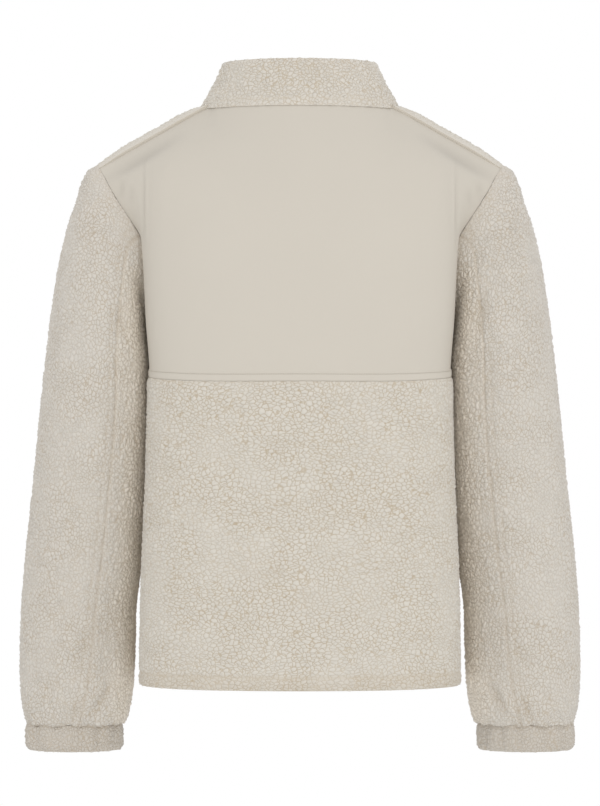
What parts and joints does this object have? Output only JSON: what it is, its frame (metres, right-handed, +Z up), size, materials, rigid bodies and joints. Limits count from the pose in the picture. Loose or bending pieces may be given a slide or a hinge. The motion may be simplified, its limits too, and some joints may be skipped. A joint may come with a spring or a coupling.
{
  "type": "sherpa jacket",
  "caption": "Zip-front fleece jacket with a smooth woven back yoke, stand collar and elastic cuffs, filled out as worn but empty.",
  "frame": {"origin": "centre of the neck opening, at the height of the collar seam at the back, where the wearer's neck and shoulders hold the jacket", "axes": "+Z up, the jacket faces -Y, the wearer's left is +X"},
  "size_m": [0.6404, 0.2887, 0.7798],
  "materials": {
    "sherpa": "curly cream fleece pile with tan depths",
    "sherpa_cuff": "the same fleece, drawn up on elastic",
    "woven_yoke": "smooth matt plain weave",
    "zip_tape": "fine woven tape",
    "zip_teeth": "moulded teeth, satin",
    "zip_metal": "satin nickel"
  },
  "bodies": {
    "jacket": {"back_yoke": "woven_yoke", "back_lower": "sherpa", "front_left": "sherpa", "front_right": "sherpa", "collar": "sherpa", "sleeve_outer_left": "sherpa", "sleeve_under_left": "sherpa", "sleeve_outer_right": "sherpa", "sleeve_under_right": "sherpa", "cuff_left": "sherpa_cuff", "cuff_right": "sherpa_cuff", "zip_tape_left": "zip_tape", "zip_tape_right": "zip_tape", "zip_chain": "zip_teeth", "zip_box": "zip_metal", "zip_slider": "zip_metal"},
    "pull_tab": {"zip_pull": "zip_metal"}
  },
  "joints": [
    {"name": "pull_tab_swing", "type": "hinge", "parent": "jacket", "child": "pull_tab", "pos_m": [0, -0.07753, 0.00991], "axis": [-1, 0, 0], "range_deg": [0, 150]}
  ]
}
